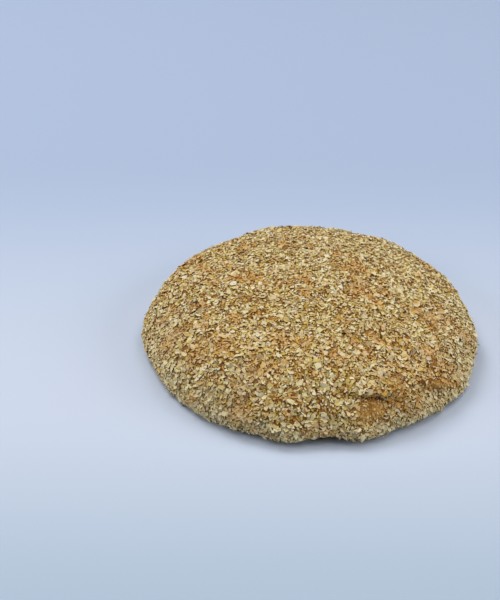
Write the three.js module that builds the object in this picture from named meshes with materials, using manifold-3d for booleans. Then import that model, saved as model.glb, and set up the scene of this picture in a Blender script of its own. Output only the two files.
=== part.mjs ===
// Flat round sourdough loaf, rolled in coarse bran before baking.
// Millimetres, +Z up, origin at the middle of the base, -Y towards the viewer.
// The loaf is one solid: a low dome on a flat base, with its largest bran flakes fused to the crust.

import * as THREE from "three";
import { mergeVertices } from "three/addons/utils/BufferGeometryUtils.js";
import { MeshSurfaceSampler } from "three/addons/math/MeshSurfaceSampler.js";
import Module from "manifold-3d";

// Driving dimensions of the loaf
const CRUST_RADIUS = 98.8;
const CRUST_HEIGHT = 41;
const GIRTH_HEIGHT = 5.5; // height of the widest ring
const BASE_RADIUS = 90; // flat face that the loaf stands on

// How full the outline of the cut loaf is: 0.55 is an ellipse, 1 is a box
const SIDE_FULLNESS = 0.62;
const CROWN_FULLNESS = 0.6;
const FOOT_FULLNESS = 0.66;

// Facets of the crust
const FACETS_AROUND = 90;
const FOOT_RINGS = 5;
const DOME_RINGS = 22;

// The plan is a circle that bulges and draws in a little: lobes around it, share of the radius, and bearing
// in degrees from +X towards +Y
const PLAN_LOBES = [
  { lobes: 2, share: 0.004, bearing: 10 },
  { lobes: 3, share: 0.006, bearing: 88 },
  { lobes: 4, share: 0.004, bearing: 53 },
  { lobes: 5, share: 0.004, bearing: 31 },
];

// Long low swells left by the rise: length from crest to crest, height, bearing in degrees, phase in turns
const SWELLS = [
  { length: 74, height: 0.7, bearing: 18, phase: 0.1 },
  { length: 53, height: 0.6, bearing: 77, phase: 0.55 },
  { length: 41, height: 0.5, bearing: 141, phase: 0.3 },
];

// Folds where the skin slid down the flank: a raised lip above a hollow. Bearing, reach from the axis and
// height give the middle of a fold's line. The flank falls at slope degrees there, and the line sinks by
// slant degrees towards greater bearings. Run is half its length and width half its breadth.
const FOLDS = [
  { bearing: -70, reach: 90, height: 23, slope: 55, slant: 17, run: 14, width: 5, depth: 2.1 },
  { bearing: -48, reach: 95, height: 19, slope: 55, slant: 30, run: 13, width: 4.5, depth: 1.5 },
  { bearing: 112, reach: 88, height: 24, slope: 50, slant: -12, run: 17, width: 6, depth: 1.4 },
];

// Places where the flank draws in, or bulges out if the depth is below nought: bearing, height of the
// middle, half sizes along and up the flank, and depth
const FLANK_WAVES = [
  { bearing: -100, height: 4, run: 10, width: 9, depth: -2.6 },
  { bearing: -72, height: 4, run: 13, width: 9, depth: -3.4 },
  { bearing: -38, height: 8, run: 22, width: 12, depth: -1.3 },
  { bearing: 187, height: 14, run: 18, width: 16, depth: -3 },
  { bearing: -10, height: 10, run: 15, width: 14, depth: -1.3 },
  { bearing: 34, height: 6, run: 16, width: 9, depth: 1.6 },
  { bearing: 142, height: 6, run: 14, width: 9, depth: 1.6 },
];

// Places where the foot stands off the floor: bearing, half length along the foot, and rise. The rise is
// greatest at the height given and fades above and below.
const FOOT_LIFTS = [
  { bearing: -86, run: 14, rise: 4.4 },
  { bearing: 28, run: 17, rise: 1.8 },
  { bearing: 148, run: 15, rise: 1.6 },
];
const LIFT_HEIGHT = 3.2;

// Bran flakes large enough to count as shape
const FLAKE_COUNT = 170;
const FLAKE_LENGTH = { least: 3.8, most: 5.8 };
const FLAKE_SLIMNESS = { least: 0.5, most: 0.85 }; // breadth over length
const FLAKE_CORNERS = 5;
const FLAKE_CORNER_WANDER = 0.22; // share of the radius that a corner may stray
const FLAKE_THICKNESS = 1.4;
const FLAKE_PROUD = 0.7; // how far the middle of a flake stands off the crust
const FLAKE_TILT = 11; // degrees
const FLAKE_SPACING = 8.6; // between the middles of two flakes
const FLAKE_LOWEST = 6; // height of the lowest flake's middle
const FLAKE_SEED = 7;

const CRUST_COLOUR = 0xb08a4e;

const NEARNESS = 1e-6; // a point this near the axis or the base is on it
const MERGE_NEARNESS = 1e-3; // points this near each other are one

const wasm = await Module();
wasm.setup();

const draw = () => THREE.MathUtils.seededRandom();
const drawBetween = ({ least, most }) => THREE.MathUtils.lerp(least, most, draw());
const bearingVector = (degrees) => {
  const angle = THREE.MathUtils.degToRad(degrees);
  return new THREE.Vector2(Math.cos(angle), Math.sin(angle));
};

// Half of the loaf's cut face, from the middle of the base round to the crown.
function profilePoints() {
  const girth = new THREE.Vector2(CRUST_RADIUS, GIRTH_HEIGHT);
  const overhang = CRUST_RADIUS - BASE_RADIUS;
  const rise = CRUST_HEIGHT - GIRTH_HEIGHT;
  const foot = new THREE.CubicBezierCurve(
    new THREE.Vector2(BASE_RADIUS, 0),
    new THREE.Vector2(BASE_RADIUS + FOOT_FULLNESS * overhang, 0),
    new THREE.Vector2(CRUST_RADIUS, GIRTH_HEIGHT * (1 - FOOT_FULLNESS)),
    girth,
  );
  const dome = new THREE.CubicBezierCurve(
    girth,
    new THREE.Vector2(CRUST_RADIUS, GIRTH_HEIGHT + SIDE_FULLNESS * rise),
    new THREE.Vector2(CROWN_FULLNESS * CRUST_RADIUS, CRUST_HEIGHT),
    new THREE.Vector2(0, CRUST_HEIGHT),
  );
  const base = new THREE.Vector2(0, 0);
  return [base, ...foot.getSpacedPoints(FOOT_RINGS), ...dome.getSpacedPoints(DOME_RINGS).slice(1)];
}

// Share of the crust's radius at a bearing, in radians.
function planShare(angle) {
  return PLAN_LOBES.reduce(
    (share, { lobes, share: swing, bearing }) =>
      share + swing * Math.cos(lobes * (angle - THREE.MathUtils.degToRad(bearing))),
    1,
  );
}

// Rise of the swells at a point of the plan.
function swellAt(x, y) {
  return SWELLS.reduce((rise, { length, height, bearing, phase }) => {
    const along = bearingVector(bearing).dot(new THREE.Vector2(x, y));
    return rise + height * Math.sin(2 * Math.PI * (along / length + phase));
  }, 0);
}

// Rise of the folds at a point: a lip on the crown's side of the line and a hollow on the foot's side.
function foldAt(point) {
  return FOLDS.reduce((rise, { bearing, reach, height, slope, slant, run, width, depth }) => {
    const out = bearingVector(bearing);
    const fall = bearingVector(-slope);
    const turn = bearingVector(slant);
    const from = point.clone().sub(new THREE.Vector3(out.x * reach, out.y * reach, height));
    const side = from.dot(new THREE.Vector3(-out.y, out.x, 0));
    const down = from.dot(new THREE.Vector3(out.x * fall.x, out.y * fall.x, fall.y));
    const along = (side * turn.x + down * turn.y) / run;
    const across = (down * turn.x - side * turn.y) / width;
    const ends = Math.exp(-(along ** 2));
    return rise - depth * across * Math.exp((1 - across ** 2) / 2) * ends;
  }, 0);
}

// Way round the flank from a bearing in degrees to an angle in radians.
function roundTo(angle, bearing) {
  const turn = angle - THREE.MathUtils.degToRad(bearing);
  return Math.atan2(Math.sin(turn), Math.cos(turn)) * CRUST_RADIUS;
}

// How far the flank is drawn in at a bearing, in radians, and a height.
function drawnInAt(angle, z) {
  return FLANK_WAVES.reduce((fall, { bearing, height, run, width, depth }) => {
    const along = roundTo(angle, bearing) / run;
    const across = (z - height) / width;
    return fall + depth * Math.exp(-(along ** 2) - across ** 2);
  }, 0);
}

// How far the foot is lifted at a bearing, in radians, and a height.
function liftAt(angle, z) {
  const share = (z / LIFT_HEIGHT) * Math.exp(1 - z / LIFT_HEIGHT);
  return FOOT_LIFTS.reduce((lift, { bearing, run, rise }) => {
    const along = roundTo(angle, bearing) / run;
    return lift + rise * share * Math.exp(-(along ** 2));
  }, 0);
}

// The crust as a turned dome whose points are then moved along their normals and out to the plan.
// Points of the base stay in its plane.
function crustGeometry() {
  const geometry = new THREE.LatheGeometry(profilePoints(), FACETS_AROUND).rotateX(Math.PI / 2);
  const position = geometry.getAttribute("position");
  const normal = geometry.getAttribute("normal");
  const point = new THREE.Vector3();
  const facing = new THREE.Vector3();
  for (let i = 0; i < position.count; i++) {
    point.fromBufferAttribute(position, i);
    facing.fromBufferAttribute(normal, i);
    const radius = Math.hypot(point.x, point.y);
    const angle = Math.atan2(point.y, point.x);
    if (radius < NEARNESS) facing.set(0, 0, Math.sign(facing.z));
    const offBase = THREE.MathUtils.smoothstep(point.z, 0, GIRTH_HEIGHT);
    const swell = swellAt(point.x, point.y) * Math.max(0, facing.z);
    const relief = offBase * (swell + foldAt(point));
    const drawnIn = drawnInAt(angle, point.z) * Math.min(1, radius / BASE_RADIUS);
    const plan = planShare(angle) - drawnIn / CRUST_RADIUS;
    const onBase = point.z < NEARNESS;
    const lift = liftAt(angle, point.z);
    point.addScaledVector(facing, relief);
    position.setXYZ(i, point.x * plan, point.y * plan, onBase ? 0 : point.z + lift);
  }
  geometry.deleteAttribute("uv");
  geometry.deleteAttribute("normal");
  const closed = mergeVertices(geometry, MERGE_NEARNESS);
  closed.computeVertexNormals();
  return closed;
}

// Middles of the flakes, spread over the crust by throwing seeded darts and keeping those that lie clear.
function flakeSeats(crust) {
  const sampler = new MeshSurfaceSampler(new THREE.Mesh(crust)).setRandomGenerator(draw).build();
  const seats = [];
  while (seats.length < FLAKE_COUNT) {
    const seat = { middle: new THREE.Vector3(), facing: new THREE.Vector3() };
    sampler.sample(seat.middle, seat.facing);
    const clear = seats.every((other) => other.middle.distanceTo(seat.middle) > FLAKE_SPACING);
    if (clear && seat.middle.z > FLAKE_LOWEST) seats.push(seat);
  }
  return seats;
}

// A flat chip of bran with a few uneven corners, its middle at the seat and leaning a little.
function flakeGeometry({ middle, facing }) {
  const length = drawBetween(FLAKE_LENGTH);
  const breadth = length * drawBetween(FLAKE_SLIMNESS);
  const corners = Array.from({ length: FLAKE_CORNERS }, (_, k) => {
    const angle = (2 * Math.PI * k) / FLAKE_CORNERS;
    const wander = 1 + FLAKE_CORNER_WANDER * (2 * draw() - 1);
    return new THREE.Vector2(
      (length / 2) * wander * Math.cos(angle),
      (breadth / 2) * wander * Math.sin(angle),
    );
  });
  const chip = new THREE.ExtrudeGeometry(new THREE.Shape(corners), {
    depth: FLAKE_THICKNESS,
    bevelEnabled: false,
  });
  const lean = THREE.MathUtils.degToRad(FLAKE_TILT) * (2 * draw() - 1);
  chip.translate(0, 0, FLAKE_PROUD - FLAKE_THICKNESS);
  chip.rotateY(lean).rotateZ(2 * Math.PI * draw());
  const upright = new THREE.Vector3(0, 0, 1);
  chip.applyQuaternion(new THREE.Quaternion().setFromUnitVectors(upright, facing));
  return chip.translate(middle.x, middle.y, middle.z);
}

// A closed three.js geometry as a solid that can be joined.
function toSolid(geometry) {
  const bare = geometry.clone();
  bare.deleteAttribute("uv");
  bare.deleteAttribute("normal");
  const merged = mergeVertices(bare, MERGE_NEARNESS);
  return new wasm.Manifold(
    new wasm.Mesh({
      numProp: 3,
      vertProperties: merged.getAttribute("position").array,
      triVerts: new Uint32Array(merged.index.array),
    }),
  );
}

// A solid as a three.js geometry.
function toGeometry(solid) {
  const mesh = solid.getMesh();
  const geometry = new THREE.BufferGeometry();
  geometry.setAttribute("position", new THREE.BufferAttribute(mesh.vertProperties, mesh.numProp));
  geometry.setIndex(new THREE.BufferAttribute(mesh.triVerts, 1));
  geometry.computeVertexNormals();
  return geometry;
}

// The loaf: crust and flakes fused into one solid, its plan centred on the origin.
function loafGeometry() {
  THREE.MathUtils.seededRandom(FLAKE_SEED);
  const crust = crustGeometry();
  const flakes = flakeSeats(crust).map((seat) => toSolid(flakeGeometry(seat)));
  const loaf = toGeometry(wasm.Manifold.union([toSolid(crust), ...flakes]));
  loaf.computeBoundingBox();
  const middle = loaf.boundingBox.getCenter(new THREE.Vector3());
  return loaf.translate(-middle.x, -middle.y, 0);
}

const loaf = new THREE.Mesh(
  loafGeometry(),
  new THREE.MeshStandardMaterial({ color: CRUST_COLOUR, roughness: 0.85, metalness: 0 }),
);
loaf.name = "loaf";

const part = new THREE.Group();
part.add(loaf);

export default part;
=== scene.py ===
"""Flat round sourdough loaf, its crust rolled in coarse bran.

The crust is a low dome on a flat base, with folds in its skin. Bran flakes of several shades lie on it in a
loose layer, with fine crumbs of bran in the gaps. Metres, +Z up, origin at the middle of the base.
"""

import math
from dataclasses import dataclass

import bpy
import numpy as np
from bpy.props import FloatProperty, FloatVectorProperty, IntProperty, PointerProperty
from bpy.types import Operator, Panel, PropertyGroup
from mathutils.kdtree import KDTree
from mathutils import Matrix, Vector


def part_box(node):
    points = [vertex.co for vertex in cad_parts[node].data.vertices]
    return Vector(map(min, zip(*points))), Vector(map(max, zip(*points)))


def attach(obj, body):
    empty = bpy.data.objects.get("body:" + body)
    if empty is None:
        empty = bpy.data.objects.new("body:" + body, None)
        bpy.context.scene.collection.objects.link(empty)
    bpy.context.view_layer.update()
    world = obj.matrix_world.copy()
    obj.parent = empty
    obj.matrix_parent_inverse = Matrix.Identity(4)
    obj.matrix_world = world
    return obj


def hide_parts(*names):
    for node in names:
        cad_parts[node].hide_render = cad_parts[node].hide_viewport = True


bl_info = {
    "name": "Bran loaf",
    "version": (1, 0, 0),
    "blender": (4, 5, 0),
    "location": "View3D > Sidebar > Loaf",
    "description": "Makes a flat round sourdough loaf rolled in coarse bran, and a stage to show it on",
    "category": "Add Mesh",
}

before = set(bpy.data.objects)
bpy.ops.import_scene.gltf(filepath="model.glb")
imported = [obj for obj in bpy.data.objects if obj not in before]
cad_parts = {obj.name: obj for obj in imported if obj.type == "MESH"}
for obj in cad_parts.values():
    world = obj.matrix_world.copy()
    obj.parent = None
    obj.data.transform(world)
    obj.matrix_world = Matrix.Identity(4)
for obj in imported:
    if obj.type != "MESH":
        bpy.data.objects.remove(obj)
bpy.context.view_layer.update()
LOAF_LOW, LOAF_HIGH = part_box("loaf")

MM = 0.001
BODY = "root"
WHITE = (1.0, 1.0, 1.0)
BAKE_MAP = "OFBake"  # the map that the colours can be baked on

# The solid's box holds its flakes and swells too, so the bare crust is this much smaller.
FLAKE_RISE = 0.5 * MM
SWELL_RISE = 1.9 * MM
MEAN_WIDTH = (LOAF_HIGH.x - LOAF_LOW.x + LOAF_HIGH.y - LOAF_LOW.y) / 2

# Waves of the plan: lobes around it, share of the radius, bearing in degrees from +X towards +Y
PLAN_LOBES = (
    {"lobes": 2, "share": 0.004, "bearing": 10},
    {"lobes": 3, "share": 0.006, "bearing": 88},
    {"lobes": 4, "share": 0.004, "bearing": 53},
    {"lobes": 5, "share": 0.004, "bearing": 31},
)

# Long low swells: length from crest to crest and height in millimetres, bearing in degrees, phase in turns
SWELLS = (
    {"length": 74, "height": 0.7, "bearing": 18, "phase": 0.1},
    {"length": 53, "height": 0.6, "bearing": 77, "phase": 0.55},
    {"length": 41, "height": 0.5, "bearing": 141, "phase": 0.3},
)

# Folds where the skin slid down the flank. Bearing, reach from the axis and height give the middle of a
# fold's line. The flank falls at slope degrees there, and the line sinks by slant degrees towards greater
# bearings. Run is half its length and width half its breadth. Crease is how bare the line is and how dark
# its painted shade is. Degrees and millimetres.
FOLDS = (
    {
        "bearing": -70, "reach": 90, "height": 23, "slope": 55, "slant": 17,
        "run": 14, "width": 5, "depth": 2.1, "crease": 1,
    },
    {
        "bearing": -48, "reach": 95, "height": 19, "slope": 55, "slant": 30,
        "run": 13, "width": 4.5, "depth": 1.4, "crease": 0.4,
    },
    {
        "bearing": 112, "reach": 88, "height": 24, "slope": 50, "slant": -12,
        "run": 17, "width": 6, "depth": 1.4, "crease": 0.7,
    },
)
FOLD_CRISPNESS = 6.0  # how sharply a lip turns over into its hollow
FOLD_SPREAD = 1.6  # how far lip and hollow reach, in shares of the fold's breadth
FOLD_SHARE = 0.95  # height of the crisp lip beside the fold's depth
CREASE_PLACE = 0.16  # how far below the fold's line its crease lies, in shares of the fold's breadth
CREASE_WIDTH = 0.17  # half the width of the crease, in the same shares
CREASE_CLEAR = 0.95  # share of the flakes that is missing in a crease
FOLD_WANDER = (7, 0.16)  # length in millimetres and share of the breadth by which a fold's line strays

# Places where the flank draws in, or bulges if the depth is below nought, in degrees and millimetres
FLANK_WAVES = (
    {"bearing": -100, "height": 4, "run": 10, "width": 9, "depth": -3},
    {"bearing": -75, "height": 4, "run": 12, "width": 9, "depth": -3.7},
    {"bearing": -38, "height": 8, "run": 22, "width": 12, "depth": -1.3},
    {"bearing": -82, "height": 0, "run": 48, "width": 3, "depth": 4.4},
    {"bearing": 187, "height": 14, "run": 18, "width": 16, "depth": -3},
    {"bearing": -10, "height": 10, "run": 15, "width": 14, "depth": -1.3},
    {"bearing": 34, "height": 6, "run": 16, "width": 9, "depth": 1.6},
    {"bearing": 142, "height": 6, "run": 14, "width": 9, "depth": 1.6},
)

# Places where the foot stands off the floor, in degrees and millimetres
FOOT_LIFTS = (
    {"bearing": -87, "run": 11, "rise": 2.2},
    {"bearing": 28, "run": 17, "rise": 1.8},
    {"bearing": 148, "run": 15, "rise": 1.6},
)
LIFT_HEIGHT = 3.2 * MM  # height on the flank that is lifted most

# How full the outline of the loaf's cut is: 0.55 is an ellipse, 1 is a box
SIDE_FULLNESS = 0.62
CROWN_FULLNESS = 0.6
FOOT_FULLNESS = 0.66

# Mesh of the crust
FACETS_AROUND = 320
BASE_RINGS = 10
FOOT_RINGS = 14
DOME_RINGS = 150
CURVE_STEPS = 400  # points on a curve before they are spaced evenly

# Discs of the crust's map, as middle and radius in shares of the map's side
DOME_DISC = (np.array((0.45, 0.55)), 0.44)
BASE_DISC = (np.array((0.865, 0.135)), 0.125)

# Fine relief of the crust: length across and height in millimetres
CRUST_RIPPLES = ((13, 0.28), (6, 0.24), (2.2, 0.09))
RIPPLE_WAVES = 28  # waves that make up one set of ripples
RIPPLE_RANGE = (0.7, 1.5)  # lengths of those waves beside the length of the set
BASE_INSET = 0.3  # share of the inset that the base has
CRUST_SEED = 3


@dataclass(frozen=True)
class Spot:
    """A round spot on the crust, strongest in its middle. Degrees and millimetres."""

    bearing: float
    reach: float  # from the loaf's axis
    height: float
    size: float
    share: float = 1  # how strong the spot is in its middle
    fine: float = 1  # length of the flakes there beside those elsewhere

    def near(self, places):
        """1 in the spot's middle and less and less away from it, at places on the crust."""
        middle = place_at(self.bearing, self.reach, self.height)
        away = np.linalg.norm(places - middle, axis=1) / (self.size * MM)
        return np.exp(-(away**2))


# Bare spots under the folds, with the share of the flakes that is missing
BARE_SPOTS = (
    Spot(-69, 93, 18, size=4.5, share=0.6),
    Spot(-74, 93, 17, size=5, share=0.65),
    Spot(-77, 94, 14, size=4, share=0.5),
    Spot(-51, 94, 18, size=3.5, share=0.75),
    Spot(-46, 96, 17, size=4, share=0.8),
    Spot(-41, 98, 15, size=4, share=0.75),
)

# Spots where the flakes baked to a rusty brown, with how rusty they are
RUSTY_SPOTS = (
    Spot(-50, 91, 23, size=24, share=0.4),
    Spot(-71, 93, 18, size=9),
    Spot(-70, 91, 22, size=7),
    Spot(-47, 95, 18, size=5),
    Spot(-156, 91, 22, size=8),
    Spot(-115, 76, 31, size=8),
    Spot(-135, 72, 33, size=8),
    Spot(-142, 83, 28, size=8),
    Spot(-115, 97, 16, size=8),
    Spot(-111, 54, 36, size=6),
    Spot(-96, 52, 36, size=5),
    Spot(-81, 63, 35, size=6),
    Spot(-61, 86, 29, size=7),
    Spot(-65, 68, 34, size=5),
    Spot(-56, 99, 12, size=4),
    Spot(-37, 94, 21, size=5),
)
RUST_LENGTHS = (34 * MM, 13 * MM, 6 * MM)  # from one rusty patch to the next, large, middling and small
RUST_RANGE = (0.6, 3.2)  # where the patches begin and where they are full, in spreads of the random values
# Low on the flank the crust and bran are lighter and greyer, partly as dust and partly as painted light
GREY_HEIGHT = (3 * MM, 18 * MM)  # below the first the flank is greyest, above the second it is not
LOW_HEIGHT = (10 * MM, 29 * MM)  # below the first flakes lean up most, above the second they do not

# Dusty spots, partly dust and partly painted light, with how grey they are beside the foot and how long
# their flakes are
FLOURY_AND_LIT_SPOTS = (
    Spot(62, 78, 30, size=62, share=0.38, fine=0.86),
    Spot(-12, 97, 14, size=30, share=0.7, fine=0.9),
    Spot(-160, 97, 14, size=26, share=0.6, fine=0.94),
    Spot(-145, 98, 10, size=12, share=0.9),
    Spot(-126, 97, 14, size=11, share=0.9),
    Spot(-116, 83, 27, size=8, share=0.7),
    Spot(-28, 95, 19, size=16, share=0.6),
    Spot(-52, 96, 15.5, size=3.5, share=1.2),
    Spot(-48, 97, 13.5, size=3.5, share=1.2),
    Spot(-43, 99, 12, size=3.5, share=1.2),
)
BARE_FINE = 0.55  # length of the flakes in bare spots beside those elsewhere
LOW_LEAN = 0.5  # how far the flakes low on the flank lean up to the light, as the tangent of the angle
PATCH_LENGTH = 15 * MM  # from one patch with little bran to the next
PATCH_RANGE = (0.2, 1.8)  # where such a patch begins and is full, in spreads of the random values
PATCHINESS = 0.3  # most that is missing in such a patch
BASE_SHARE = 0.15  # flakes on the base beside those on top
UNDER_RANGE = (0.35, 0.75)  # where the flank turns into the base, as how far its normal points down

# Shape of the flakes
FLAKE_CORNERS = 5
CORNER_TURN = 0.34  # share of a step round the flake that a corner may stray
CORNER_WANDER = 0.32  # share of the radius that a corner may stray
THICKNESS_RANGE = (0.7, 1.4)  # thickness of a flake beside the usual
MOST_CURL = 1.2  # most that a flake bends up or down beside the usual
CURL_LENGTH = 2.6 * MM  # length of a flake with the usual curl, as longer ones bend more
MOST_TILT = math.radians(50)
UPRIGHT = 0.9  # rise of a normal that counts as upright
FLOOR_GAP = 0.02 * MM  # least height of a flake over the floor
TONES = (0.5, 0.27)  # mean and spread of the flakes' tones, from dull at 0 to bright at 1
SEATS_TRIED = 5  # random spots drawn for each flake, of which one that lies clear is kept
FLAKE_SEED = 17
RUST_SEED = 5

# Map of one flake or crumb in a unit square: two discs side by side, and the top's share of the left one
LEFT_MIDDLE = np.array((0.25, 0.5))
RIGHT_MIDDLE = np.array((0.75, 0.5))
DISC_SIZE = np.array((0.22, 0.45))
TOP_SHARE = 0.68

# Places of the few dark bits that stand out: bearing in degrees, reach and height in millimetres
DARK_BITS = ((-129, 97, 16), (-114, 91, 23), (-93, 89, 23), (-13, 42, 39))

# Kinds of bran: usual length in millimetres, spread of the lengths as a share, range of breadth over length,
# share of all the flakes, and how high they lie in the layer, in millimetres
BRAN_KINDS = {
    "bran_cream": {"length": 2.1, "spread": 0.34, "slim": (0.5, 0.95), "share": 0.22, "lift": (0.4, 1.0)},
    "bran_straw": {"length": 2.05, "spread": 0.3, "slim": (0.5, 0.9), "share": 0.24, "lift": (0.2, 0.8)},
    "bran_beige": {"length": 2.0, "spread": 0.32, "slim": (0.5, 0.9), "share": 0.16, "lift": (0.3, 0.9)},
    "bran_golden": {"length": 2.0, "spread": 0.28, "slim": (0.45, 0.9), "share": 0.23, "lift": (0.1, 0.5)},
    "bran_toasted": {"length": 1.9, "spread": 0.28, "slim": (0.4, 0.85), "share": 0.14, "lift": (0.0, 0.4)},
    "bran_husks": {"length": 3.2, "spread": 0.25, "slim": (0.2, 0.4), "share": 0.03, "lift": (0.4, 0.9)},
    "bran_dark": {"length": 2.0, "spread": 0.25, "slim": (0.4, 0.8), "share": 0.008, "lift": (0.4, 0.9)},
}

# Crumbs, with six tips each: where the tips point, and the faces between them
CRUMB_FLATNESS = 0.6  # height of a crumb over its width
CRUMB_TIPS = np.array(
    ((1, 0, 0), (-1, 0, 0), (0, 1, 0), (0, -1, 0), (0, 0, CRUMB_FLATNESS), (0, 0, -CRUMB_FLATNESS))
)
CRUMB_FACES = ((0, 2, 4), (2, 1, 4), (1, 3, 4), (3, 0, 4), (2, 0, 5), (1, 2, 5), (3, 1, 5), (0, 3, 5))
CRUMB_SIZE = (0.25, 0.7)  # from middle to tip, in millimetres
CRUMB_LIFT = (0.05, 0.35)  # from crust to middle, in millimetres

# Look of the crust: sizes of its marks, and the stretch of their noise over which they set in
BLOTCH_SIZE = 9 * MM
BLOTCH_RANGE = (0.65, 0.35)
WRINKLE_SIZE = 1.6 * MM
WRINKLE_RANGE = (0.62, 0.36)
MOTTLE_SIZE = 2 * MM
MOTTLE_RANGE = (0.35, 0.6)
PORE_SIZE = 0.5 * MM
BARE_RANGE = (0.08, 0.5)  # share of the bran that is missing where the bare crust begins to show and is full
CRUST_DUST_AND_LIGHT = 0.7  # most that the crust takes on of its dusty colour, partly dust and partly painted light
CRUST_ROUGHNESS = (0.62, 0.25)  # least, and what the pores add
CRUST_DEPTH = 0.8 * MM  # of the bumps that wrinkles and pores make
WRINKLE_SHARE = 0.7  # the wrinkles' share of those bumps

# Look of the bran
TONE_STOPS = (0.0, 0.5, 1.0)  # tones of the dull, usual and bright colours
FLECK_SIZE = 0.8 * MM
FLECK_SHARE = 0.9  # most by which the tone varies within a flake
FIBRE_SIZE = 0.25 * MM
FIBRE_DEPTH = 0.06 * MM
BRAN_RUST = 0.58  # most that a flake takes on of the rusty colour
BRAN_DUST_AND_LIGHT = 0.43  # most that it takes on of the grey one, partly dust and partly painted light
RIM_FADE = (0.1, 0.9)  # from the top's colour to the underside's, in shares of the way down the rim, as painted shade
BRAN_ROUGHNESS = (0.55, 0.3)  # least, and what the fibres add
GLOSS = 0.3  # specular level of crust and bran

# Stage: distances in metres
FLOOR_SIZE = 40.0
FLOOR_ROUGHNESS = 0.8
NEAREST = 0.01  # least distance at which the camera shows things
FRONT_FADE = (-0.22, -0.07)  # where the floor darkens in front of the loaf, as painted shade where the light falls off
BACK_FADE = (-0.06, 0.24)  # and behind it
SKY_FADE = (0.5, 0.9)  # from low down to high up, as the sine of the angle, where the light's colour changes

# Soft lights that face the loaf: place and width in metres, power in watts
LAMPS = {
    "front": {"place": (0, -0.45, 2.6), "power": 12, "width": 2.6},
    "back_left": {"place": (-0.95, 1, 2), "power": 23, "width": 1},
    "back_right": {"place": (1, 0.85, 2.3), "power": 11, "width": 1},
    "left": {"place": (-2.2, -0.3, 1.1), "power": 16, "width": 1.6},
    "right": {"place": (2.2, -0.3, 1.1), "power": 22, "width": 1.6},
}
LAMP_DEPTH = 1.0  # the other side of each light


def shade(red, green, blue):
    """Scene-linear colour of a shade given in the 0 to 255 steps of sRGB."""
    steps = np.array((red, green, blue)) / 255
    linear = np.where(steps > 0.04045, ((steps + 0.055) / 1.055) ** 2.4, steps / 12.92)
    return tuple(linear.tolist())


def colour(name, description, *steps):
    """A colour setting with this default."""
    return FloatVectorProperty(
        name=name, description=description, default=shade(*steps), subtype="COLOR", size=3, min=0, max=1
    )


def distance(name, description, default):
    """A length setting with this default."""
    return FloatProperty(name=name, description=description, default=default, min=0, unit="LENGTH")


class CrustSettings(PropertyGroup):
    """Sizes and colours of the bare crust."""

    radius: distance("Radius", "Radius of the crust at its widest ring", MEAN_WIDTH / 2 - FLAKE_RISE)
    height: distance("Height", "Height of the crown before the swells", LOAF_HIGH.z - SWELL_RISE)
    girth_height: distance("Girth height", "Height of the widest ring", 5.5 * MM)
    base_radius: distance("Base radius", "Radius of the flat face that the loaf stands on", 90 * MM)
    inset: distance("Inset", "How far the bare crust lies under the bran's mean surface", 0.9 * MM)
    pale: colour("Bare crust", "Smooth crust where the bran is missing", 222, 178, 106)
    baked: colour("Baked crust", "Crust where it baked to an even brown", 176, 120, 48)
    toasted: colour("Toasted crust", "Crust in the gaps and hollows", 132, 76, 22)
    # Crust low on the flank and in the dusty spots is lighter, partly dust and partly painted light
    dusty_and_lit: colour("Dusty crust", "Crust low on the flank", 172, 138, 78)
    under: colour("Base crust", "Underside, baked dark", 64, 40, 22)
    # Painted shade in the crease under a fold's lip
    crease_shade: colour("Creased crust", "Crust in the crease under a fold's lip", 100, 62, 32)


class BranSettings(PropertyGroup):
    """Amount, thickness and colours of the bran."""

    flakes: IntProperty(name="Flakes", description="Flakes on the whole loaf", default=43000, min=0)
    crumbs: IntProperty(name="Crumbs", description="Fine crumbs between the flakes", default=10000, min=0)
    gap: distance("Gap", "Least distance between the middles of two flakes", 0.9 * MM)
    shortest: distance("Shortest flake", "Length of the shortest flakes", 1.1 * MM)
    longest: distance("Longest flake", "Length of the longest flakes", 4.8 * MM)
    thickness: distance("Thickness", "Usual thickness of a flake", 0.36 * MM)
    curl: distance("Curl", "How far the ends of a flake usually bend up or down", 0.24 * MM)
    tilt: FloatProperty(
        name="Tilt", description="Usual lean of a flake", default=math.radians(27), subtype="ANGLE"
    )
    cream: colour("Cream", "Palest flakes, floury side up", 233, 220, 173)
    straw: colour("Straw", "Straw-coloured flakes", 220, 195, 117)
    beige: colour("Beige", "Flakes with a pinkish tinge", 223, 194, 143)
    golden: colour("Golden", "Golden flakes", 200, 164, 72)
    toasted: colour("Toasted", "Flakes that baked brown", 155, 107, 48)
    rusty: colour("Rusty", "Tinge of the flakes in the browner patches", 208, 144, 52)
    dark: colour("Dark", "Few dark bits", 66, 36, 20)
    # The grain's outer skin colours each flake's underside, and fades in down its rim as painted shade
    skin: colour("Skin", "Outer skin of the grain, on the underside and edges of the flakes", 112, 66, 14)
    # The grey tinge low on the flank and in the dusty spots is partly dust and partly painted light
    grey: colour("Grey", "Tinge of the flakes low on the flank", 226, 213, 170)


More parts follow.
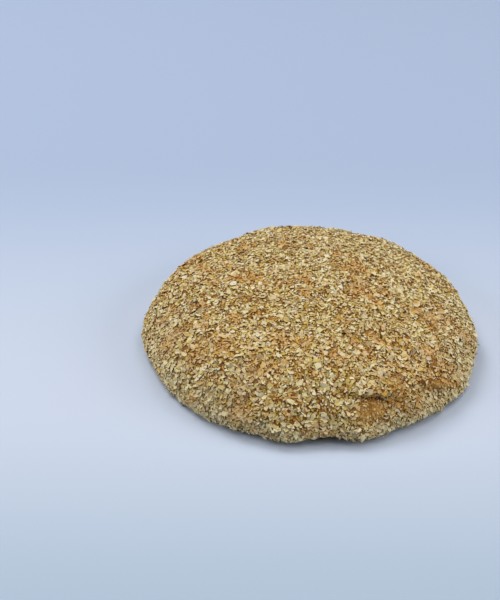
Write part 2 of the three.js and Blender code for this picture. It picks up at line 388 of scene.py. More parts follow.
class StageSettings(PropertyGroup):
    """Floor, light and camera."""

    floor: colour("Floor", "Colour of the plain floor round the loaf", 202, 212, 229)
    # The floor's darker colours far in front and far behind are painted shade where the light falls off
    floor_front: colour("Near floor", "Colour of the plain floor far in front", 174, 192, 211)
    floor_back: colour("Far floor", "Colour of the plain floor far behind", 171, 187, 214)
    sky: colour("Sky", "Colour of the light from above", 232, 236, 242)
    horizon: colour("Horizon", "Colour of the light from low down", 60, 63, 72)
    sky_strength: FloatProperty(
        name="Sky strength", description="Strength of the light from all round", default=0.455, min=0
    )
    lamp_strength: FloatProperty(
        name="Lamp strength", description="Light of all the lamps beside the usual", default=1, min=0
    )
    eye: FloatVectorProperty(
        name="Eye",
        description="Place of the camera",
        default=(-0.0353, -0.4401, 0.3402),
        subtype="XYZ",
        unit="LENGTH",
        size=3,
    )
    pitch: FloatProperty(
        name="Pitch",
        description="How far down the camera looks",
        default=math.radians(35.59),
        subtype="ANGLE",
    )
    lens: FloatProperty(
        name="Lens", description="Focal length on a 36 mm frame", default=54, min=1, unit="CAMERA"
    )


class Wire:
    """A socket in a material. Sums written with wires add the Math nodes that work them out."""

    def __init__(self, tree, socket=None):
        self.tree = tree
        self.socket = socket

    def node(self, kind, settings=None, inputs=None, output=0):
        """Adds a node with these settings and inputs, which are values or wires, and wires its output."""
        made = self.tree.nodes.new(kind)
        for name, value in (settings or {}).items():
            if name == "stops":
                set_stops(made.color_ramp, value)
            else:
                setattr(made, name, value)
        for name, value in (inputs or {}).items():
            if isinstance(value, Wire):
                self.tree.links.new(value.socket, made.inputs[name])
            else:
                made.inputs[name].default_value = value
        return Wire(self.tree, made.outputs[output] if made.outputs else None)

    def sum(self, operation, first, second):
        """A Math node on two values."""
        return self.node("ShaderNodeMath", {"operation": operation}, {0: first, 1: second})

    def __add__(self, other):
        return self.sum("ADD", self, other)

    def __radd__(self, other):
        return self.sum("ADD", other, self)

    def __sub__(self, other):
        return self.sum("SUBTRACT", self, other)

    def __rsub__(self, other):
        return self.sum("SUBTRACT", other, self)

    def __mul__(self, other):
        return self.sum("MULTIPLY", self, other)

    def __rmul__(self, other):
        return self.sum("MULTIPLY", other, self)

    def between(self, low, high):
        """0 at low and below, 1 at high and above, and smooth in between."""
        return self.node(
            "ShaderNodeMapRange",
            {"interpolation_type": "SMOOTHSTEP"},
            {"Value": self, "From Min": low, "From Max": high},
        )

    def mix(self, first, second):
        """The first colour where this wire is 0, and the second where it is 1."""
        return self.node(
            "ShaderNodeMix",
            {"data_type": "RGBA"},
            {0: self, 6: opaque(first), 7: opaque(second)},
            output=2,
        )


def opaque(tint):
    """A colour with its alpha, or a wire as it is."""
    return tint if isinstance(tint, Wire) else (*tint, 1.0)


def set_stops(ramp, stops):
    """Gives a colour ramp these stops, each a place and a colour."""
    while len(ramp.elements) < len(stops):
        ramp.elements.new(1.0)
    for element, (place, tint) in zip(ramp.elements, stops, strict=True):
        element.position = place
        element.color = opaque(tint)


def new_material(name):
    """An empty node material, and a loose wire to begin its nodes with."""
    material = bpy.data.materials.new(name)
    material.use_nodes = True
    material.node_tree.nodes.clear()
    return material, Wire(material.node_tree)


def finish_material(start, inputs):
    """Ends a material with a Principled shader that has these inputs."""
    shader = start.node("ShaderNodeBsdfPrincipled", inputs=inputs)
    start.node("ShaderNodeOutputMaterial", inputs={"Surface": shader})


def place_wire(start):
    """Place in the loaf's frame, in metres."""
    return start.node("ShaderNodeTexCoord", output="Object")


def noise_wire(start, place, size, detail=2.0):
    """Noise from about 0 to 1 whose features are this many metres across."""
    return start.node(
        "ShaderNodeTexNoise", inputs={"Vector": place, "Scale": 1 / size, "Detail": detail}
    )


def attribute_wire(start, name):
    """A number that the mesh gives each of its points."""
    return start.node("ShaderNodeAttribute", {"attribute_name": name}, output="Fac")


def bump_wire(start, height, depth):
    """A normal bumped by a height from 0 to 1 that is this many metres deep."""
    return start.node("ShaderNodeBump", inputs={"Height": height, "Distance": depth}, output="Normal")


def crust_material(crust):
    """Baked skin: brown in blotches, dark in wrinkles and, as painted shade, in creases; lighter low down,
    partly dust and partly painted light; mottled and paler where it is bare.
    """
    material, start = new_material("baked_crust")
    place = place_wire(start)
    blotches = noise_wire(start, place, BLOTCH_SIZE, detail=3)
    wrinkles = noise_wire(start, place, WRINKLE_SIZE, detail=3)
    mottles = noise_wire(start, place, MOTTLE_SIZE, detail=4)
    pores = noise_wire(start, place, PORE_SIZE)
    browned = blotches.between(*BLOTCH_RANGE).mix(crust.toasted, crust.baked)
    wrinkled = wrinkles.between(*WRINKLE_RANGE).mix(browned, crust.toasted)
    # Lighter and greyer low on the flank and in the dusty spots: partly dust, partly painted light
    dusted_and_lit = (attribute_wire(start, "grey") * CRUST_DUST_AND_LIGHT).mix(wrinkled, crust.dusty_and_lit)
    mottled = mottles.between(*MOTTLE_RANGE).mix(crust.pale, crust.baked)
    opened = attribute_wire(start, "bare").between(*BARE_RANGE).mix(dusted_and_lit, mottled)
    turned_under = attribute_wire(start, "under").mix(opened, crust.under)
    bumps = wrinkles * WRINKLE_SHARE + pores * (1 - WRINKLE_SHARE)
    least, added = CRUST_ROUGHNESS
    finish_material(
        start,
        {
            # The crease under each fold's lip is darkened with painted shade
            "Base Color": attribute_wire(start, "crease").mix(turned_under, crust.crease_shade),
            "Roughness": least + pores * added,
            "Specular IOR Level": GLOSS,
            "Normal": bump_wire(start, bumps, CRUST_DEPTH),
        },
    )
    return material


def flake_material(name, tints, bran):
    """Bran: a tone for each flake, with paler and darker flecks, and the grain's dark skin underneath,
    fading in down the rim as painted shade.
    """
    material, start = new_material(name)
    place = place_wire(start)
    flecks = noise_wire(start, place, FLECK_SIZE, detail=3)
    fibres = noise_wire(start, place, FIBRE_SIZE)
    toned = start.node(
        "ShaderNodeValToRGB",
        {"stops": tuple(zip(TONE_STOPS, tints, strict=True))},
        {"Fac": attribute_wire(start, "tone") + flecks * FLECK_SHARE - FLECK_SHARE / 2},
    )
    browned = (attribute_wire(start, "rust") * BRAN_RUST).mix(toned, bran.rusty)
    # Lighter and greyer low on the flank and in the dusty spots: partly dust, partly painted light
    dusted_and_lit = (attribute_wire(start, "grey") * BRAN_DUST_AND_LIGHT).mix(browned, bran.grey)
    least, added = BRAN_ROUGHNESS
    finish_material(
        start,
        {
            # The underside takes the skin's colour, and the rim darkens towards it as painted shade
            "Base Color": attribute_wire(start, "under").between(*RIM_FADE).mix(dusted_and_lit, bran.skin),
            "Roughness": least + fibres * added,
            "Specular IOR Level": GLOSS,
            "Normal": bump_wire(start, fibres, FIBRE_DEPTH),
        },
    )
    return material


def blended(first, second, share):
    """A colour this share of the way from the first to the second."""
    return tuple(a + (b - a) * share for a, b in zip(first, second, strict=True))


def heading(bearing):
    """Unit vector of the plan at a bearing in degrees."""
    angle = math.radians(bearing)
    return np.array((math.cos(angle), math.sin(angle)))


def place_at(bearing, reach, height):
    """Place of a bearing in degrees, and a reach from the axis and a height in millimetres."""
    return np.append(heading(bearing) * reach, height) * MM


def circle_at(angles):
    """Points of the unit circle at angles in radians."""
    return np.stack((np.cos(angles), np.sin(angles)), axis=1)


def run_along(points):
    """Way along a line of points, from the first to each of them."""
    return np.concatenate(([0], np.cumsum(np.linalg.norm(np.diff(points, axis=0), axis=1))))


def unit(vectors):
    """The same vectors, one unit long."""
    return vectors / np.linalg.norm(vectors, axis=-1, keepdims=True)


def ripples(places, length, rng):
    """Smooth random values with a spread of 1, whose features are this long, at these places."""
    ways = unit(rng.normal(size=(RIPPLE_WAVES, 3)))
    lengths = length * rng.uniform(*RIPPLE_RANGE, RIPPLE_WAVES)
    phases = rng.uniform(0, 2 * math.pi, RIPPLE_WAVES)
    waves = np.sin(2 * math.pi * places @ (ways / lengths[:, None]).T + phases)
    return waves.sum(axis=1) * math.sqrt(2 / RIPPLE_WAVES)


def smoothstep(values, low, high):
    """0 at low and below, 1 at high and above, and smooth in between."""
    share = np.clip((values - low) / (high - low), 0, 1)
    return share * share * (3 - 2 * share)


def even_curve(controls, steps):
    """Points spaced evenly along the cubic curve with these four control points."""
    at = np.linspace(0, 1, CURVE_STEPS)[:, None]
    first, second, third, last = (np.array(point) for point in controls)
    back = 1 - at
    curve = back**3 * first + 3 * back**2 * at * second + 3 * back * at**2 * third + at**3 * last
    run = run_along(curve)
    even = np.linspace(0, run[-1], steps + 1)
    return np.stack([np.interp(even, run, curve[:, axis]) for axis in (0, 1)], axis=1)


def crust_profile(crust):
    """Half of the loaf's cut, as radius and height, from near the middle of the base to near the crown."""
    overhang = crust.radius - crust.base_radius
    rise = crust.height - crust.girth_height
    girth = (crust.radius, crust.girth_height)
    base = np.linspace((0, 0), (crust.base_radius, 0), BASE_RINGS + 1)
    foot = even_curve(
        (
            (crust.base_radius, 0),
            (crust.base_radius + FOOT_FULLNESS * overhang, 0),
            (crust.radius, crust.girth_height * (1 - FOOT_FULLNESS)),
            girth,
        ),
        FOOT_RINGS,
    )
    dome = even_curve(
        (
            girth,
            (crust.radius, crust.girth_height + SIDE_FULLNESS * rise),
            (CROWN_FULLNESS * crust.radius, crust.height),
            (0, crust.height),
        ),
        DOME_RINGS,
    )
    return np.concatenate((base, foot[1:], dome[1:]))


def profile_normals(profile):
    """Outward normals of the cut's outline, as radius and height."""
    along = np.gradient(profile, axis=0)
    normals = unit(np.stack((along[:, 1], -along[:, 0]), axis=1))
    normals[profile[:, 1] == 0] = (0, -1)
    normals[-1] = (0, 1)
    return normals


def swell_at(places):
    """Rise of the long swells at places of the plan."""
    rise = np.zeros(len(places))
    for swell in SWELLS:
        along = places[:, :2] @ heading(swell["bearing"]) / (swell["length"] * MM)
        rise += swell["height"] * MM * np.sin(2 * math.pi * (along + swell["phase"]))
    return rise


def fold_spots(places, fold):
    """Places along and across a fold's line, in shares of its half length and half breadth."""
    out = heading(fold["bearing"])
    fall = heading(-fold["slope"])
    turn = heading(fold["slant"])
    offset = places / MM - np.append(out * fold["reach"], fold["height"])
    side = offset[:, :2] @ np.array((-out[1], out[0]))
    down = offset @ np.append(out * fall[0], fall[1])
    length, share = FOLD_WANDER
    wander = share * ripples(places, length * MM, np.random.default_rng(CRUST_SEED))
    along = (side * turn[0] + down * turn[1]) / fold["run"]
    across = (down * turn[0] - side * turn[1]) / fold["width"] + wander
    return along, across


def fold_at(places):
    """Rise of the folds: a lip on the crown's side of the line and a hollow on the foot's side."""
    rise = np.zeros(len(places))
    for fold in FOLDS:
        along, across = fold_spots(places, fold)
        lip = np.tanh(FOLD_CRISPNESS * across) * np.exp(-(across**2) / FOLD_SPREAD)
        rise -= FOLD_SHARE * fold["depth"] * MM * lip * np.exp(-(along**2))
    return rise


def crease_at(places):
    """1 in the crease just under a fold's lip, and 0 away from it."""
    crease = np.zeros(len(places))
    for fold in FOLDS:
        along, across = fold_spots(places, fold)
        crease += fold["crease"] * np.exp(-(((across - CREASE_PLACE) / CREASE_WIDTH) ** 2) - along**2)
    return np.minimum(1, crease)


def plan_share(angles):
    """Share of the crust's radius at bearings in radians."""
    waves = (
        wave["share"] * np.cos(wave["lobes"] * (angles - math.radians(wave["bearing"])))
        for wave in PLAN_LOBES
    )
    return 1 + sum(waves)


def round_to(angles, bearing, radius):
    """Way round the flank from a bearing in degrees to angles in radians."""
    turn = angles - math.radians(bearing)
    return np.arctan2(np.sin(turn), np.cos(turn)) * radius


def drawn_in_at(angles, heights, radius):
    """How far the flank is drawn in at bearings in radians and at heights."""
    fall = np.zeros(len(angles))
    for wave in FLANK_WAVES:
        along = round_to(angles, wave["bearing"], radius) / (wave["run"] * MM)
        across = (heights / MM - wave["height"]) / wave["width"]
        fall += wave["depth"] * MM * np.exp(-(along**2) - across**2)
    return fall


def lift_at(angles, heights, radius):
    """How far the foot is lifted at bearings in radians and at heights."""
    share = heights / LIFT_HEIGHT * np.exp(1 - heights / LIFT_HEIGHT)
    rise = np.zeros(len(angles))
    for lift in FOOT_LIFTS:
        along = round_to(angles, lift["bearing"], radius) / (lift["run"] * MM)
        rise += lift["rise"] * MM * np.exp(-(along**2))
    return rise * share


def turned(profile):
    """Which point of the profile each point of the crust is turned from, and its bearing in radians."""
    rings = len(profile) - 2
    turns = np.linspace(0, 2 * math.pi, FACETS_AROUND, endpoint=False)
    ring = np.concatenate(([0], np.repeat(1 + np.arange(rings), FACETS_AROUND), [-1]))
    return ring, np.concatenate(([0], np.tile(turns, rings), [0]))


def crust_points(crust):
    """The crust's points, the base's middle, ring after ring, and the crown, and the profile they are on."""
    profile = crust_profile(crust)
    ring, angles = turned(profile)
    radii, heights = profile[ring].T.copy()
    facing = profile_normals(profile)[ring]
    round_way = circle_at(angles)
    places = np.column_stack((radii[:, None] * round_way, heights))
    outward = np.column_stack((facing[:, :1] * round_way, facing[:, 1]))
    rng = np.random.default_rng(CRUST_SEED)
    fine = sum(height * MM * ripples(places, length * MM, rng) for length, height in CRUST_RIPPLES)
    off_base = smoothstep(heights, 0, crust.girth_height)
    swell = swell_at(places) * np.maximum(0, outward[:, 2])
    inset = crust.inset * (BASE_INSET + (1 - BASE_INSET) * off_base)
    relief = off_base * (swell + fold_at(places) + fine) - inset
    drawn_in = drawn_in_at(angles, heights, crust.radius) * np.minimum(1, radii / crust.base_radius)
    places += relief[:, None] * outward
    places[:, :2] *= (plan_share(angles) - drawn_in / crust.radius)[:, None]
    places[:, 2] += lift_at(angles, heights, crust.radius)
    return centred(places), profile


def centred(places):
    """The places with the middle of their plan over the middle of the solid's box."""
    middle = (places[:, :2].min(axis=0) + places[:, :2].max(axis=0)) / 2
    wanted = np.array((LOAF_LOW + LOAF_HIGH) / 2)[:2]
    places[:, :2] += wanted - middle
    return places


def crust_faces(rings):
    """Faces between the rings, and fans round the base's middle and the crown, as lists of point numbers."""
    step = np.arange(FACETS_AROUND)
    after = np.roll(step, -1)
    first = 1 + FACETS_AROUND * np.arange(rings - 1)[:, None]
    bands = np.stack(
        (first + step, first + after, first + FACETS_AROUND + after, first + FACETS_AROUND + step), axis=2
    )
    last = 1 + FACETS_AROUND * (rings - 1)
    crown = last + FACETS_AROUND
    under = [(0, 1 + b, 1 + a) for a, b in zip(step, after, strict=True)]
    over = [(crown, last + a, last + b) for a, b in zip(step, after, strict=True)]
    return under + [tuple(face) for face in bands.reshape(-1, 4)] + over


def crust_map(profile, corners):
    """Spots of the crust's face corners on a square: the dome as a large disc, the base as a small one."""
    run = run_along(profile)
    foot = run[BASE_RINGS]
    ring, angles = turned(profile)
    circle = circle_at(angles)
    dome = DOME_DISC[0] + DOME_DISC[1] * circle * ((run[-1] - run) / (run[-1] - foot))[ring][:, None]
    base = BASE_DISC[0] + BASE_DISC[1] * circle * (-1, 1) * (run / foot)[ring][:, None]
    # The base comes first, with a fan of triangles and then bands of quads
    base_corners = 3 * FACETS_AROUND + 4 * FACETS_AROUND * (BASE_RINGS - 1)
    return np.concatenate((base[corners[:base_corners]], dome[corners[base_corners:]]))


def new_piece(name, mesh, material):
    """Links a mesh as a piece of the loaf that wears this material."""
    piece = bpy.data.objects.new(name, mesh)
    bpy.context.scene.collection.objects.link(piece)
    mesh.materials.append(material)
    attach(piece, BODY)
    return piece


def mesh_from(name, points, corners, face_sizes):
    """A mesh from arrays of points, of all the faces' corners in turn, and of each face's corner count."""
    mesh = bpy.data.meshes.new(name)
    mesh.vertices.add(len(points))
    mesh.vertices.foreach_set("co", points.astype(np.float32).ravel())
    mesh.loops.add(len(corners))
    mesh.loops.foreach_set("vertex_index", corners.astype(np.int32))
    mesh.polygons.add(len(face_sizes))
    starts = np.concatenate(([0], np.cumsum(face_sizes)[:-1]))
    mesh.polygons.foreach_set("loop_start", starts.astype(np.int32))
    mesh.update(calc_edges=True)
    return mesh


def add_values(mesh, name, values):
    """Gives each point of a mesh a number that its material can read."""
    attribute = mesh.attributes.new(name, "FLOAT", "POINT")
    attribute.data.foreach_set("value", values.astype(np.float32))


def add_map(mesh, spots):
    """Gives a mesh the map that its colours can be baked on, one spot for each corner of its faces."""
    layer = mesh.uv_layers.new(name=BAKE_MAP)
    layer.uv.foreach_set("vector", spots.astype(np.float32).ravel())


def point_normals(mesh):
    """Normals of a mesh's points."""
    normals = np.empty(len(mesh.vertices) * 3, np.float32)
    mesh.vertex_normals.foreach_get("vector", normals)
    return normals.reshape(-1, 3).astype(float)


class Seats:
    """Random spots on the crust, with the crust's normal at each."""

    def __init__(self, mesh):
        mesh.calc_loop_triangles()
        count = len(mesh.loop_triangles)
        corners = np.empty(count * 3, np.int32)
        mesh.loop_triangles.foreach_get("vertices", corners)
        areas = np.empty(count, np.float32)
        mesh.loop_triangles.foreach_get("area", areas)
        points = np.empty(len(mesh.vertices) * 3, np.float32)
        mesh.vertices.foreach_get("co", points)
        self.points = points.reshape(-1, 3)[corners.reshape(-1, 3)].astype(float)
        self.normals = point_normals(mesh)[corners.reshape(-1, 3)]
        self.areas = areas.astype(float)

    def draw(self, count, rng):
        """Places of spots drawn evenly over the crust, but fewer on the base, and the normals there."""
        weights = self.areas * (1 + (BASE_SHARE - 1) * under_share(self.normals.mean(axis=1)))
        chosen = rng.choice(len(weights), count, p=weights / weights.sum())
        first = np.sqrt(rng.random(count))
        second = rng.random(count)
        parts = np.stack((1 - first, first * (1 - second), first * second), axis=1)[:, :, None]
        places = (self.points[chosen] * parts).sum(axis=1)
        return places, unit((self.normals[chosen] * parts).sum(axis=1))

    def draw_apart(self, count, gap, rng):
        """Draws spots as above, then keeps the first of those nearer to each other than the gap."""
        places, normals = self.draw(count * SEATS_TRIED, rng)
        tree = KDTree(len(places))
        for number, place in enumerate(places):
            tree.insert(place, number)
        tree.balance()
        free = np.ones(len(places), bool)
        kept = []
        for number, place in enumerate(places):
            if len(kept) == count:
                break
            if free[number]:
                kept.append(number)
                free[[near for _, near, _ in tree.find_range(place, gap)]] = False
        kept = np.array(kept)[rng.random(len(kept)) < bran_share(places[kept])]
        return places[kept], normals[kept]


def under_share(normals):
    """How far the crust faces the floor, from 0 on the flank to 1 on the base."""
    return smoothstep(-normals[:, 2], *UNDER_RANGE)


def bran_share(places):
    """Share of the bran that is left at places on the crust, as some rubbed off in patches."""
    patches = ripples(places, PATCH_LENGTH, np.random.default_rng(FLAKE_SEED))
    share = 1 - PATCHINESS * smoothstep(patches, *PATCH_RANGE)
    return share * (1 - bareness(places)) * (1 - CREASE_CLEAR * crease_at(places))


def bareness(places):
    """Share of the bran that is missing in the bare spots, at places on the crust."""
    left = np.ones(len(places))
    for spot in BARE_SPOTS:
        left *= 1 - spot.share * spot.near(places)
    return 1 - left


def rust_at(places):
    """How far the bran is baked to a rusty brown at places on the crust, from 0 to 1."""
    rng = np.random.default_rng(RUST_SEED)
    patches = sum(ripples(places, length, rng) for length in RUST_LENGTHS)
    rust = smoothstep(patches, *RUST_RANGE)
    for spot in RUSTY_SPOTS:
        rust = np.maximum(rust, spot.share * spot.near(places))
    return rust


def low_at(places):
    """1 low on the flank and 0 on top, at places on the crust."""
    return 1 - smoothstep(places[:, 2], *LOW_HEIGHT)


def flour_and_light_at(places):
    """How dusty the bran is at places on the crust, partly as dust and partly as painted light."""
    return np.max([spot.share * spot.near(places) for spot in FLOURY_AND_LIT_SPOTS], axis=0)


def grey_at(places):
    """How grey the bran is at places on the crust: most low on the flank, and some in the dusty spots,
    partly dust and partly painted light.
    """
    return np.maximum(1 - smoothstep(places[:, 2], *GREY_HEIGHT), flour_and_light_at(places))


def fineness_at(places):
    """Length of the flakes at places on the crust, beside the usual."""
    fineness = 1 + (BARE_FINE - 1) * bareness(places)
    for spot in FLOURY_AND_LIT_SPOTS:
        fineness *= 1 + (spot.fine - 1) * spot.near(places)
    return fineness


def flake_shapes(places, kind, bran, rng):
    """Flakes lying flat at the origin, as flakes by points by axes: top middle, top rim, lower rim."""
    count = len(places)
    length = kind["length"] * MM * np.exp(kind["spread"] * rng.normal(size=(count, 1)))
    length = np.clip(length, bran.shortest, bran.longest)
    length *= fineness_at(places)[:, None]
    breadth = length * rng.uniform(*kind["slim"], (count, 1))
    step = np.arange(FLAKE_CORNERS) + rng.uniform(-CORNER_TURN, CORNER_TURN, (count, FLAKE_CORNERS))
    turn = 2 * math.pi * step / FLAKE_CORNERS
    reach = 1 + rng.uniform(-CORNER_WANDER, CORNER_WANDER, (count, FLAKE_CORNERS))
    along = reach * np.cos(turn)
    across = reach * np.sin(turn)
    curls = np.clip(rng.normal(size=(2, count, 1)), -MOST_CURL, MOST_CURL)
    bends = bran.curl * curls * length / CURL_LENGTH
    height = bends[0] * along**2 + bends[1] * along * across
    rim = np.stack((along * length / 2, across * breadth / 2, height), axis=2)
    thickness = bran.thickness * rng.uniform(*THICKNESS_RANGE, (count, 1, 1))
    return np.concatenate((np.zeros((count, 1, 3)), rim, rim - thickness * np.array((0, 0, 1))), axis=1)


def flake_faces():
    """Point numbers of one flake's faces: a fan on top, then the underside, then quads round the rim."""
    above = 1 + np.arange(FLAKE_CORNERS)
    below = above + FLAKE_CORNERS
    rim = list(zip(above, np.roll(above, -1), below, np.roll(below, -1), strict=True))
    top = [(0, a, b) for a, b, _, _ in rim]
    bottom = [(below[0], below[k + 1], below[k]) for k in range(1, FLAKE_CORNERS - 1)]
    sides = [(c, d, b, a) for a, b, c, d in rim]
    return top, bottom, sides


def flake_map(groups):
    """Spots of one flake's corners in a unit square: top and rim on the left, underside on the right."""
    turn = 2 * math.pi * np.arange(FLAKE_CORNERS) / FLAKE_CORNERS
    circle = circle_at(turn)
    upper = np.concatenate(([LEFT_MIDDLE], LEFT_MIDDLE + circle * DISC_SIZE * TOP_SHARE))
    top_and_rim = np.concatenate((upper, LEFT_MIDDLE + circle * DISC_SIZE))
    top_and_under = np.concatenate((upper, RIGHT_MIDDLE + circle * DISC_SIZE))
    top, bottom, sides = groups
    spots = [top_and_under[list(face)] for face in top + bottom]
    spots += [top_and_rim[list(face)] for face in sides]
    return np.concatenate(spots)


def laid_down(shapes, places, normals, tilt, lift, rng):
    """Shapes set on the crust at places, each spun and leaning at random and lifted off it."""
    count = len(shapes)
    aside = np.where(np.abs(normals[:, 2:]) < UPRIGHT, (0.0, 0.0, 1.0), (1.0, 0.0, 0.0))
    first = unit(np.cross(normals, aside))
    second = np.cross(normals, first)
    way = rng.uniform(0, 2 * math.pi, (count, 1))
    lean = np.tan(np.clip(tilt * np.abs(rng.normal(size=(count, 1))), 0, MOST_TILT))
    raised = LOW_LEAN * low_at(places)[:, None] * np.maximum(0, 1 - normals[:, 2:] ** 2) * (0, 0, 1)
    upward = unit(normals + raised + lean * (np.cos(way) * first + np.sin(way) * second))
    spin = rng.uniform(0, 2 * math.pi, (count, 1))
    along = np.cos(spin) * first + np.sin(spin) * second
    along = unit(along - (along * upward).sum(axis=1, keepdims=True) * upward)
    across = np.cross(upward, along)
    axes = np.stack((along, across, upward), axis=1)
    points = np.einsum("npk,nkj->npj", shapes, axes) + (places + lift * normals)[:, None]
    lowest = points[:, :, 2].min(axis=1)
    points[:, :, 2] += np.maximum(0, FLOOR_GAP - lowest)[:, None]
    return points


def joined(name, points, faces):
    """One mesh of many like shapes, given as shapes by points by axes, with the same faces each."""
    count, each = points.shape[:2]
    corners = np.concatenate([np.array(face) for face in faces])
    shifts = each * np.arange(count)[:, None]
    sizes = np.tile([len(face) for face in faces], count)
    mesh = mesh_from(name, points.reshape(-1, 3), (corners + shifts).ravel(), sizes)
    mesh.shade_flat()
    return mesh


def scattered_map(spots, count):
    """Spots of many like shapes: each shape's own spots in a cell of a square grid."""
    side = math.ceil(math.sqrt(count))
    cells = np.stack((np.arange(count) % side, np.arange(count) // side), axis=1)
    return ((cells[:, None] + spots) / side).reshape(-1, 2)


class LOAF_OT_crust(Operator):
    """Make the bare crust: a low dome with folds and fine relief"""

    bl_idname = "loaf.make_crust"
    bl_label = "Make crust"

    def execute(self, context):
        crust = context.scene.loaf_crust
        points, profile = crust_points(crust)
        faces = crust_faces(len(profile) - 2)
        corners = np.concatenate([np.array(face) for face in faces])
        mesh = mesh_from("crust", points, corners, [len(face) for face in faces])
        add_values(mesh, "bare", bareness(points))
        add_values(mesh, "grey", grey_at(points))
        add_values(mesh, "under", under_share(point_normals(mesh)))
        add_values(mesh, "crease", crease_at(points))
        add_map(mesh, crust_map(profile, corners))
        piece = new_piece("crust", mesh, crust_material(crust))
        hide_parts("loaf")
        return {"FINISHED"}


class LOAF_OT_bran(Operator):
    """Scatter bran flakes of every kind over the crust"""

    bl_idname = "loaf.scatter_bran"
    bl_label = "Scatter bran flakes"

    def execute(self, context):
        bran = context.scene.loaf_bran
        rng = np.random.default_rng(FLAKE_SEED)
        seats = Seats(bpy.data.objects["crust"].data)
        places, normals = seats.draw_apart(bran.flakes, bran.gap, rng)
        chance = np.array([kind["share"] for kind in BRAN_KINDS.values()])
        drawn = rng.choice(list(BRAN_KINDS), len(places), p=chance / chance.sum())
        for bit in DARK_BITS:
            drawn[np.linalg.norm(places - place_at(*bit), axis=1).argmin()] = "bran_dark"
        for name in BRAN_KINDS:
            mine = drawn == name
            scatter_kind(name, places[mine], normals[mine], bran, rng)
        return {"FINISHED"}


def scatter_kind(name, places, normals, bran, rng):
    """Lays flakes of one kind on these places, as one piece."""
    kind = BRAN_KINDS[name]
    count = len(places)
    lift = rng.uniform(*kind["lift"], (count, 1)) * MM
    shapes = flake_shapes(places, kind, bran, rng)
    points = laid_down(shapes, places, normals, bran.tilt, lift, rng)
    tones = np.clip(rng.normal(*TONES, count), 0, 1)
    below = np.arange(points.shape[1]) > FLAKE_CORNERS
    groups = flake_faces()
    mesh = joined(name, points, sum(groups, []))
    add_map(mesh, scattered_map(flake_map(groups), count))
    finish_bran(name, mesh, places, tones, below, bran)


def finish_bran(name, mesh, places, tones, below, bran):
    """Makes a piece of flakes or crumbs on these places, with a tone each, and some points of each below."""
    for value, numbers in {"tone": tones, "rust": rust_at(places), "grey": grey_at(places)}.items():
        add_values(mesh, value, np.repeat(numbers, len(below)))
    # Lower points take the skin's colour: the grain's underside, and painted shade down the rim
    add_values(mesh, "under", np.tile(below, len(places)))
    new_piece(name, mesh, flake_material(name, bran_tints(bran)[name], bran))


def bran_tints(bran):
    """Dull, usual and bright colours of each kind of bran."""
    dull_cream = blended(bran.cream, bran.straw, share=0.6)
    dull_straw = blended(bran.straw, bran.golden, share=0.7)
    bright_straw = blended(bran.straw, bran.cream, share=0.8)
    dull_beige = blended(bran.beige, bran.toasted, share=0.4)
    dull_golden = blended(bran.golden, bran.toasted, share=0.8)
    dull_toasted = blended(bran.toasted, bran.dark, share=0.6)
    return {
        "bran_cream": (dull_cream, bran.cream, blended(bran.cream, WHITE, share=0.2)),
        "bran_straw": (dull_straw, bran.straw, bright_straw),
        "bran_beige": (dull_beige, bran.beige, blended(bran.beige, WHITE, share=0.15)),
        "bran_golden": (dull_golden, bran.golden, bran.straw),
        "bran_toasted": (dull_toasted, bran.toasted, bran.golden),
        "bran_husks": (bran.golden, bran.straw, bran.cream),
        "bran_dark": (bran.dark, bran.dark, bran.toasted),
        "bran_crumbs": (bran.toasted, bran.golden, bran.cream),
    }


def crumb_map():
    """Spots of one crumb's corners in a unit square: upper faces on the left, lower faces on the right."""
    flat = CRUMB_TIPS[:, :2] * DISC_SIZE
    lower = len(CRUMB_TIPS) - 1
    return np.concatenate(
        [(RIGHT_MIDDLE if lower in face else LEFT_MIDDLE) + flat[list(face)] for face in CRUMB_FACES]
    )


class LOAF_OT_crumbs(Operator):
    """Scatter fine crumbs of bran in the gaps between the flakes"""

    bl_idname = "loaf.scatter_crumbs"
    bl_label = "Scatter crumbs"

    def execute(self, context):
        bran = context.scene.loaf_bran
        rng = np.random.default_rng(FLAKE_SEED + 1)
        places, normals = Seats(bpy.data.objects["crust"].data).draw(bran.crumbs, rng)
        sizes = rng.uniform(*CRUMB_SIZE, (bran.crumbs, len(CRUMB_TIPS), 1)) * MM
        lift = rng.uniform(*CRUMB_LIFT, (bran.crumbs, 1)) * MM
        points = laid_down(CRUMB_TIPS * sizes, places, normals, bran.tilt, lift, rng)
        mesh = joined("bran_crumbs", points, CRUMB_FACES)
        add_map(mesh, scattered_map(crumb_map(), bran.crumbs))
        tones = rng.random(bran.crumbs)
        # The crumb's lower tip takes the skin's colour, so its lower faces darken towards it as painted
        # shade
        finish_bran("bran_crumbs", mesh, places, tones, CRUMB_TIPS[:, 2] < 0, bran)
        return {"FINISHED"}


def floor_material(stage):
    """Plain matt board, a little darker towards the front and the back, as painted shade where the light
    falls off.
    """
    material, start = new_material("plain_floor")
    split = start.node("ShaderNodeSeparateXYZ", inputs={"Vector": place_wire(start)}, output="Y")
    near = split.between(*FRONT_FADE).mix(stage.floor_front, stage.floor)
    tint = split.between(*BACK_FADE).mix(near, stage.floor_back)
    finish_material(start, {"Base Color": tint, "Roughness": FLOOR_ROUGHNESS})
    return material


class LOAF_OT_stage(Operator):
    """Set the floor, the light and the camera"""

    bl_idname = "loaf.set_stage"
    bl_label = "Set stage"

    def execute(self, context):
        scene = context.scene
        stage = scene.loaf_stage
        scene.view_settings.view_transform = "Standard"
        half = FLOOR_SIZE / 2
        corners = np.array(((-half, -half, 0), (half, -half, 0), (half, half, 0), (-half, half, 0)))
        mesh = mesh_from("floor", corners, np.arange(4), [4])
        mesh.materials.append(floor_material(stage))
        floor = bpy.data.objects.new("floor", mesh)
        scene.collection.objects.link(floor)
        add_light(scene, stage)
        add_camera(scene, stage)
        return {"FINISHED"}


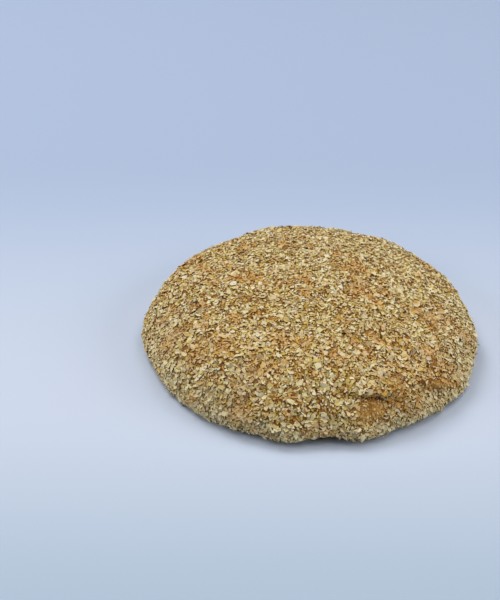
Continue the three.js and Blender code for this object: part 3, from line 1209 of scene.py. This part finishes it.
def add_lamp(scene, name, settings, strength):
    """A soft light with level edges that faces the loaf."""
    light = bpy.data.lights.new(name, "AREA")
    light.energy = settings["power"] * strength
    light.shape = "RECTANGLE"
    light.size = settings["width"]
    light.size_y = LAMP_DEPTH
    lamp = bpy.data.objects.new(name, light)
    lamp.location = settings["place"]
    lamp.rotation_euler = (-lamp.location).to_track_quat("-Z", "Y").to_euler()
    scene.collection.objects.link(lamp)


def add_light(scene, stage):
    """Soft lights all round, and a cool light from above that is weaker low down."""
    for name, settings in LAMPS.items():
        add_lamp(scene, name, settings, stage.lamp_strength)
    world = bpy.data.worlds.new("soft_room")
    world.use_nodes = True
    world.node_tree.nodes.clear()
    start = Wire(world.node_tree)
    way = start.node("ShaderNodeTexCoord", output="Generated")
    height = start.node("ShaderNodeSeparateXYZ", inputs={"Vector": way}, output="Z")
    tint = height.between(*SKY_FADE).mix(stage.horizon, stage.sky)
    light = start.node("ShaderNodeBackground", inputs={"Color": tint, "Strength": stage.sky_strength})
    start.node("ShaderNodeOutputWorld", inputs={"Surface": light})
    scene.world = world


def add_camera(scene, stage):
    """The camera, level from side to side and looking down at the loaf."""
    lens = bpy.data.cameras.new("camera")
    lens.lens = stage.lens
    lens.clip_start = NEAREST
    camera = bpy.data.objects.new("camera", lens)
    camera.location = stage.eye
    camera.rotation_euler = (math.pi / 2 - stage.pitch, 0, 0)
    scene.collection.objects.link(camera)
    scene.camera = camera


class LOAF_PT_panel(Panel):
    """Settings and operators of the loaf"""

    bl_idname = "LOAF_PT_panel"
    bl_label = "Bran loaf"
    bl_space_type = "VIEW_3D"
    bl_region_type = "UI"
    bl_category = "Loaf"

    def draw(self, context):
        for group, operators in STEPS:
            box = self.layout.box()
            settings = getattr(context.scene, group)
            for name in settings.__annotations__:
                box.prop(settings, name)
            for operator in operators:
                box.operator(operator.bl_idname)


STEPS = (
    ("loaf_crust", (LOAF_OT_crust,)),
    ("loaf_bran", (LOAF_OT_bran, LOAF_OT_crumbs)),
    ("loaf_stage", (LOAF_OT_stage,)),
)
SETTINGS = {"loaf_crust": CrustSettings, "loaf_bran": BranSettings, "loaf_stage": StageSettings}
CLASSES = (*SETTINGS.values(), LOAF_OT_crust, LOAF_OT_bran, LOAF_OT_crumbs, LOAF_OT_stage, LOAF_PT_panel)


def register():
    """Adds the classes, and the settings to the scene."""
    for cls in CLASSES:
        bpy.utils.register_class(cls)
    for name, group in SETTINGS.items():
        setattr(bpy.types.Scene, name, PointerProperty(type=group))


def unregister():
    """Takes the settings and the classes away again."""
    for name in SETTINGS:
        delattr(bpy.types.Scene, name)
    for cls in reversed(CLASSES):
        bpy.utils.unregister_class(cls)


def main():
    """Makes the loaf on its stage."""
    register()
    bpy.ops.loaf.make_crust()
    bpy.ops.loaf.scatter_bran()
    bpy.ops.loaf.scatter_crumbs()
    bpy.ops.loaf.set_stage()


if __name__ == "__main__":
    main()
